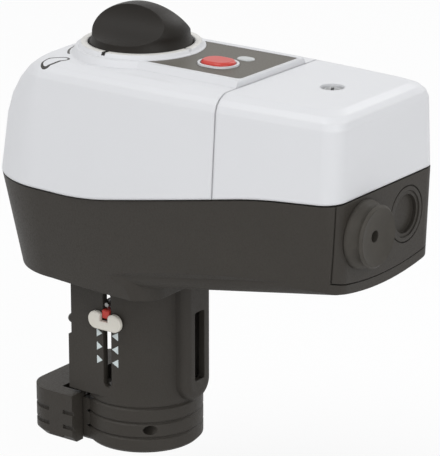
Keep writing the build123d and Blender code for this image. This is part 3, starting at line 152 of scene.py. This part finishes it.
class Finish:
    """A node material for one finish of the actuator."""

    def __init__(self, name, colour, roughness, metallic=0.0, coat=0.0, specular=0.5):
        self.material = bpy.data.materials.new(name)
        self.material.use_nodes = True
        self.tree = self.material.node_tree
        self.shader = self.tree.nodes["Principled BSDF"]
        self.shader.inputs["Base Color"].default_value = (*colour, 1.0)
        self.shader.inputs["Roughness"].default_value = roughness
        self.shader.inputs["Metallic"].default_value = metallic
        self.shader.inputs["Coat Weight"].default_value = coat
        self.shader.inputs["Specular IOR Level"].default_value = specular
        self.place = self.node("ShaderNodeTexCoord").outputs["Object"]

    def node(self, kind, settings=None, **sockets):
        node = self.tree.nodes.new(kind)
        for key, setting in (settings or {}).items():
            if key == "stops":
                ramp = node.color_ramp
                while len(ramp.elements) < len(setting):
                    ramp.elements.new(0.5)
                for element, (position, colour) in zip(ramp.elements, setting):
                    element.position = position
                    element.color = colour
            else:
                setattr(node, key, setting)
        for key, item in sockets.items():
            socket = node.inputs[int(key[1:])] if key[0] == "_" else node.inputs[key.replace("_", " ")]
            if isinstance(item, Value):
                self.tree.links.new(item.socket, socket)
            elif hasattr(item, "is_output"):
                self.tree.links.new(item, socket)
            else:
                socket.default_value = item
        return node

    def axes(self):
        """X, Y and Z of the place on the object, in millimetres."""
        parts = self.node("ShaderNodeSeparateXYZ", _0=self.place)
        return [Value(self.tree, parts.outputs[i]) * 1000.0 for i in range(3)]

    def noise(self, scale, detail=3.0, rough=0.55):
        node = self.node(
            "ShaderNodeTexNoise", Vector=self.place, Scale=scale, Detail=detail, Roughness=rough
        )
        return Value(self.tree, node.outputs[0])

    def grain(self, scale):
        node = self.node("ShaderNodeTexVoronoi", {"feature": "F1"}, Vector=self.place, Scale=scale)
        return Value(self.tree, node.outputs["Distance"])

    def blend(self, share, first, second):
        """Colour that goes from first to second as share goes from 0 to 1."""
        node = self.node("ShaderNodeMix", {"data_type": "RGBA", "blend_type": "MIX"}, _0=share)
        for place, item in ((6, first), (7, second)):
            if hasattr(item, "is_output"):
                self.tree.links.new(item, node.inputs[place])
            else:
                node.inputs[place].default_value = (*item, 1.0)
        return node.outputs[2]

    def colour(self, socket):
        self.tree.links.new(socket, self.shader.inputs["Base Color"])

    def roughness(self, value):
        self.tree.links.new(value.socket, self.shader.inputs["Roughness"])

    def bump(self, height, distance, strength=1.0, edge=0.5):
        """Fine relief, over edges that catch the light as if rounded by the edge radius."""
        rounded = self.node("ShaderNodeBevel", {"samples": EDGE_SAMPLES}, Radius=edge * MM)
        node = self.node(
            "ShaderNodeBump",
            Height=height,
            Distance=distance * MM,
            Strength=strength,
            Normal=rounded.outputs[0],
        )
        self.tree.links.new(node.outputs[0], self.shader.inputs["Normal"])


def turn_sign(x, y):
    """Share of a plain curved arrow round the knob."""
    reach = (x * x + y * y).root()
    line = (reach - TURN_RADIUS).size() < SIGN_LINE_HALF
    bow = line * (y > TURN_FROM_Y) * (y < TURN_TO_Y) * (x < 0.0)
    behind = TURN_TIP[1] - y
    tip = (behind > 0.0) * (behind < TURN_TIP_LENGTH)
    return bow.most(tip * ((x - TURN_TIP[0]).size() < behind * TURN_TIP_SLOPE))


def oval_sign(x, y):
    """Share of a plain oblong ring."""
    lean = radians(OVAL_LEAN)
    along = (x - OVAL_CENTRE[0]) * cos(lean) + (y - OVAL_CENTRE[1]) * sin(lean)
    across = (y - OVAL_CENTRE[1]) * cos(lean) - (x - OVAL_CENTRE[0]) * sin(lean)
    beyond = (along.size() - OVAL_HALF_LENGTH).most(0.0)
    reach = (beyond * beyond + across * across).root()
    return (reach - OVAL_HALF_WIDTH).size() < SIGN_LINE_HALF


def pale_plastic():
    """Smooth pale moulding with flow marks, a warmer knob ring, painted shade in the notch of the knob
    ring and two signs.
    """
    finish = Finish("pale_plastic", (0.66, 0.665, 0.68), 0.42, coat=0.04, specular=0.35)
    x, y, z = finish.axes()
    flow = finish.noise(34.0, 4.0)
    speck = finish.noise(900.0, 2.0)
    tone = finish.blend(flow * 0.5 + 0.2, (0.685, 0.69, 0.705), (0.65, 0.655, 0.672))
    reach = (x * x + y * y).root()
    ring = (reach > RING_INNER - RING_TONE_IN) * (reach < RING_OUTER + RING_TONE_OUT)
    tone = finish.blend(ring * (z > RING_TOP - RING_TONE_DEEP), tone, (0.665, 0.655, 0.625))
    # Painted shade: the notch in the knob ring is not cut, and the shadow inside it is painted near
    # black on the ring
    notch_shade = (x.size() < NOTCH_SHADE_HALF) * (y < -NOTCH_SHADE_NEAR) * (y > -NOTCH_SHADE_FAR) * (z > NOTCH_SHADE_LOW)
    signs = turn_sign(x, y).most(oval_sign(x, y)) * (z > SIGN_LOW)
    # Near black of the printed signs, also used for the painted notch shade
    finish.colour(finish.blend(signs.most(notch_shade), tone, (0.035, 0.033, 0.030)))
    finish.roughness(flow * 0.10 + speck * 0.08 + 0.36)
    finish.bump(speck * 0.6 + flow * 0.4, 0.02, 0.5, edge=1.2)
    return finish.material


def dark_plastic():
    """Dark warm grey moulding with an eroded grain."""
    finish = Finish("dark_plastic", (0.034, 0.029, 0.023), 0.5, specular=0.26)
    grain = finish.grain(1500.0)
    cloud = finish.noise(60.0, 4.0)
    finish.colour(finish.blend(cloud, (0.028, 0.0245, 0.020), (0.038, 0.0335, 0.028)))
    finish.roughness(cloud * 0.14 + grain * 0.2 + 0.38)
    finish.bump(grain, 0.05, 0.6)
    return finish.material


def knob_plastic():
    """Near black satin moulding of the knob."""
    finish = Finish("knob_plastic", (0.014, 0.012, 0.009), 0.46, specular=0.18)
    grain = finish.grain(1800.0)
    cloud = finish.noise(90.0, 3.0)
    finish.colour(finish.blend(cloud, (0.010, 0.0085, 0.0065), (0.015, 0.0125, 0.010)))
    finish.roughness(cloud * 0.12 + grain * 0.16 + 0.32)
    finish.bump(grain, 0.03, 0.5)
    return finish.material


def panel_film():
    """Olive grey film of the label panel, left bare."""
    finish = Finish("panel_film", (0.11, 0.105, 0.085), 0.5, specular=0.3)
    weave = finish.noise(1400.0, 2.0)
    cloud = finish.noise(40.0, 3.0)
    finish.colour(finish.blend(cloud, (0.082, 0.075, 0.062), (0.102, 0.094, 0.078)))
    finish.roughness(weave * 0.2 + 0.36)
    finish.bump(weave, 0.02, 0.5)
    return finish.material


def plain_plastic(name, light, dark, roughness):
    """Small coloured moulding with a slight cloud and fine grain."""
    finish = Finish(name, light, roughness, specular=0.35)
    cloud = finish.noise(160.0, 3.0)
    grain = finish.grain(1900.0)
    finish.colour(finish.blend(cloud, dark, light))
    finish.roughness(cloud * 0.12 + roughness - 0.06)
    finish.bump(grain, 0.02, 0.4)
    return finish.material


def rubber(name, tone):
    """Dull rubber with a dusty bloom."""
    finish = Finish(name, tone, 0.7, specular=0.25)
    bloom = finish.noise(220.0, 5.0)
    pores = finish.noise(1600.0, 2.0)
    dusty = tuple(1.7 * part + 0.006 for part in tone)
    finish.colour(finish.blend(bloom.power(2.0), tone, dusty))
    finish.roughness(bloom * 0.25 + 0.52)
    finish.bump(pores, 0.04, 0.5)
    return finish.material


def steel(name, tone, roughness):
    """Machined or plated metal with fine streaks."""
    finish = Finish(name, tone, roughness, metallic=1.0)
    stretched = finish.node("ShaderNodeMapping", Vector=finish.place, Scale=STREAK_STRETCH)
    streaks = finish.node(
        "ShaderNodeTexNoise", Vector=stretched.outputs[0], Scale=420.0, Detail=4.0, Roughness=0.6
    )
    lines = Value(finish.tree, streaks.outputs[0])
    darker = tuple(0.72 * part for part in tone)
    finish.colour(finish.blend(lines, darker, tone))
    finish.roughness(lines * 0.22 + roughness - 0.08)
    finish.bump(lines, 0.01, 0.5)
    return finish.material


def board_lacquer():
    """Green board with faint tracks."""
    finish = Finish("board_lacquer", (0.02, 0.13, 0.05), 0.35, coat=0.3)
    tracks = finish.node("ShaderNodeTexBrick", Vector=finish.place, Scale=260.0)
    share = Value(finish.tree, tracks.outputs["Fac"])
    finish.colour(finish.blend(share, (0.02, 0.12, 0.05), (0.04, 0.20, 0.08)))
    return finish.material


finishes = {
    "pale_cover": pale_plastic(),
    "dark_housing": dark_plastic(),
    "dark_knob": knob_plastic(),
    "panel_dark": panel_film(),
    "red_plastic": plain_plastic("red_plastic", (0.56, 0.055, 0.04), (0.48, 0.04, 0.032), 0.34),
    "cream_plastic": plain_plastic("cream_plastic", (0.68, 0.66, 0.60), (0.60, 0.57, 0.50), 0.4),
    "lens_grey": plain_plastic("lens_grey", (0.50, 0.52, 0.52), (0.44, 0.46, 0.46), 0.2),
    "black_rubber": rubber("black_rubber", (0.036, 0.032, 0.027)),
    "steel": steel("machined_steel", (0.34, 0.335, 0.325), 0.38),
    "zinc_steel": steel("zinc_plate", (0.46, 0.465, 0.47), 0.4),
    "brass": steel("turned_brass", (0.72, 0.52, 0.24), 0.3),
    "white_gear": plain_plastic("gear_plastic", (0.72, 0.71, 0.66), (0.66, 0.64, 0.58), 0.45),
    "board_green": board_lacquer(),
    "terminal_green": plain_plastic("terminal_plastic", (0.05, 0.30, 0.11), (0.04, 0.24, 0.09), 0.45),
    "switch_blue": plain_plastic("switch_plastic", (0.05, 0.13, 0.42), (0.04, 0.10, 0.34), 0.45),
}

# Two nodes differ from the rest of their slot
own_finish = {
    "stem_clip": steel("oiled_wire", (0.060, 0.056, 0.050), 0.5),
    "cable_grommet": rubber("grommet_rubber", (0.040, 0.036, 0.030)),
}

slot_of = {part["node"]: part["material_slot"] for part in frame["record"]["subparts"]}
for name, part in nodes.items():
    part.data.materials.clear()
    part.data.materials.append(own_finish.get(name, finishes[slot_of[name]]))


# Modelling helpers: a primitive is added, shaped in edit mode and finished with applied modifiers
def nothing_selected():
    if bpy.context.mode != "OBJECT":
        bpy.ops.object.mode_set(mode="OBJECT")
    bpy.ops.object.select_all(action="DESELECT")


def settle(piece):
    """Puts the piece's place into its mesh and its object at the origin."""
    nothing_selected()
    piece.select_set(True)
    bpy.context.view_layer.objects.active = piece
    bpy.ops.object.transform_apply(location=True, rotation=True, scale=True)


def modify(piece, kind, **settings):
    """Adds a modifier, sets it and applies it."""
    nothing_selected()
    piece.select_set(True)
    bpy.context.view_layer.objects.active = piece
    modifier = piece.modifiers.new(kind.lower(), kind)
    for key, setting in settings.items():
        setattr(modifier, key, setting)
    bpy.ops.object.modifier_apply(modifier=modifier.name)


def dress(piece, name, body, material):
    """Names a finished piece, gives it its finish and lets it ride on a body."""
    nothing_selected()
    piece.select_set(True)
    bpy.context.view_layer.objects.active = piece
    bpy.ops.object.shade_smooth_by_angle(angle=radians(SMOOTH_ANGLE))
    piece.name = name
    piece.data.name = name
    piece.data.materials.clear()
    piece.data.materials.append(material)
    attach(piece, body)
    return piece


def joined(parts):
    nothing_selected()
    for part in parts:
        part.select_set(True)
    bpy.context.view_layer.objects.active = parts[0]
    bpy.ops.object.join()
    return bpy.context.view_layer.objects.active


# Stroke marks: small raised triangles beside the slot, pointing at it
def stroke_mark(side, height):
    nothing_selected()
    bpy.ops.mesh.primitive_cylinder_add(vertices=3, radius=1.0, depth=1.0)
    mark = bpy.context.active_object
    corners = {}
    tip_x, base_x = side * MARK_NEAR, side * MARK_FAR
    for vertex in mark.data.vertices:
        key = (round(vertex.co.x, 3), round(vertex.co.y, 3))
        corners.setdefault(key, []).append(vertex)
    flat = [(tip_x, height), (base_x, height + MARK_HALF_HEIGHT), (base_x, height - MARK_HALF_HEIGHT)]
    for (x, z), group in zip(flat, corners.values()):
        for vertex in group:
            outward = NECK_RADIUS if x < 0 else (NECK_RADIUS ** 2 - x * x) ** 0.5
            depth = outward + (MARK_RISE if vertex.co.z > 0 else -MARK_SINK)
            vertex.co = Vector((x, -depth, z)) * MM
    nothing_selected()
    mark.select_set(True)
    bpy.context.view_layer.objects.active = mark
    bpy.ops.object.mode_set(mode="EDIT")
    bpy.ops.mesh.select_all(action="SELECT")
    bpy.ops.mesh.normals_make_consistent(inside=False)
    bpy.ops.object.mode_set(mode="OBJECT")
    modify(mark, "BEVEL", width=MARK_EDGE * MM, segments=2)
    return mark


marks = joined([stroke_mark(side, height) for side in (-1, 1) for height in MARK_HEIGHTS])
settle(marks)
mark_paint = plain_plastic("mark_inlay", (0.60, 0.66, 0.66), (0.52, 0.58, 0.58), 0.45)
dress(marks, "stroke_marks", "housing", mark_paint)


# Camera, lamps, floor and backdrop
def look_from(azimuth, elevation, distance, target):
    side, rise = radians(azimuth), radians(elevation)
    return target + distance * Vector((sin(side) * cos(rise), -cos(side) * cos(rise), sin(rise)))


aim = radians(CAMERA_AZIMUTH)
target = Vector((TARGET_ALONG * cos(aim), TARGET_ALONG * sin(aim), TARGET_HEIGHT)) * MM
camera_data = bpy.data.cameras.new("camera")
camera = bpy.data.objects.new("camera", camera_data)
bpy.context.scene.collection.objects.link(camera)
camera.location = look_from(CAMERA_AZIMUTH, CAMERA_ELEVATION, CAMERA_DISTANCE * MM, target)
camera.rotation_euler = (target - camera.location).to_track_quat("-Z", "Y").to_euler()
camera_data.sensor_fit = "VERTICAL"
camera_data.sensor_height = SENSOR_HEIGHT
camera_data.lens = CAMERA_FOCAL_PIXELS * SENSOR_HEIGHT / PHOTO_HEIGHT
camera_data.clip_start = CLIP_NEAR
camera_data.clip_end = CLIP_FAR
bpy.context.scene.camera = camera


def lamp(name, place, size, power):
    data = bpy.data.lights.new(name, "AREA")
    data.shape = "DISK"
    data.size = size
    data.energy = power
    light = bpy.data.objects.new(name, data)
    bpy.context.scene.collection.objects.link(light)
    light.location = Vector(place)
    light.rotation_euler = (target - light.location).to_track_quat("-Z", "Y").to_euler()


for lamp_name, (lamp_place, lamp_size, lamp_power) in LAMPS.items():
    lamp(lamp_name, lamp_place, lamp_size, lamp_power)

world = bpy.data.worlds.new("studio")
bpy.context.scene.world = world
world.use_nodes = True
background = world.node_tree.nodes["Background"]
paths = world.node_tree.nodes.new("ShaderNodeLightPath")
mix = world.node_tree.nodes.new("ShaderNodeMixShader")
white = world.node_tree.nodes.new("ShaderNodeBackground")
background.inputs["Color"].default_value = WORLD_COLOUR
background.inputs["Strength"].default_value = WORLD_STRENGTH
white.inputs["Color"].default_value = WHITE
white.inputs["Strength"].default_value = 1.0
either = world.node_tree.nodes.new("ShaderNodeMath")
either.operation = "MAXIMUM"
world.node_tree.links.new(paths.outputs["Is Camera Ray"], either.inputs[0])
world.node_tree.links.new(paths.outputs["Is Glossy Ray"], either.inputs[1])
world.node_tree.links.new(either.outputs[0], mix.inputs[0])
world.node_tree.links.new(background.outputs[0], mix.inputs[1])
world.node_tree.links.new(white.outputs[0], mix.inputs[2])
world.node_tree.links.new(mix.outputs[0], world.node_tree.nodes["World Output"].inputs[0])

nothing_selected()
bpy.ops.mesh.primitive_plane_add(size=FLOOR_SIZE, location=(0.0, 0.0, FLOOR_HEIGHT))
floor = bpy.context.active_object
floor.name = "floor"
floor_paint = bpy.data.materials.new("floor_paint")
floor_paint.use_nodes = True
floor_nodes = floor_paint.node_tree
floor_shader = floor_nodes.nodes["Principled BSDF"]
floor_shader.inputs["Base Color"].default_value = (0.9, 0.9, 0.9, 1.0)
floor_shader.inputs["Roughness"].default_value = 0.9
floor_glow = floor_nodes.nodes.new("ShaderNodeEmission")
floor_glow.inputs["Color"].default_value = WHITE
floor_glow.inputs["Strength"].default_value = 1.0
floor_paths = floor_nodes.nodes.new("ShaderNodeLightPath")
floor_mix = floor_nodes.nodes.new("ShaderNodeMixShader")
floor_share = floor_nodes.nodes.new("ShaderNodeMath")
floor_share.operation = "MULTIPLY"
floor_share.inputs[1].default_value = FLOOR_WHITE_SHARE
floor_nodes.links.new(floor_paths.outputs["Is Camera Ray"], floor_share.inputs[0])
floor_nodes.links.new(floor_share.outputs[0], floor_mix.inputs[0])
floor_nodes.links.new(floor_shader.outputs[0], floor_mix.inputs[1])
floor_nodes.links.new(floor_glow.outputs[0], floor_mix.inputs[2])
floor_nodes.links.new(floor_mix.outputs[0], floor_nodes.nodes["Material Output"].inputs[0])
floor.data.materials.append(floor_paint)

bpy.context.scene.view_settings.view_transform = "Standard"

bpy.context.view_layer.update()
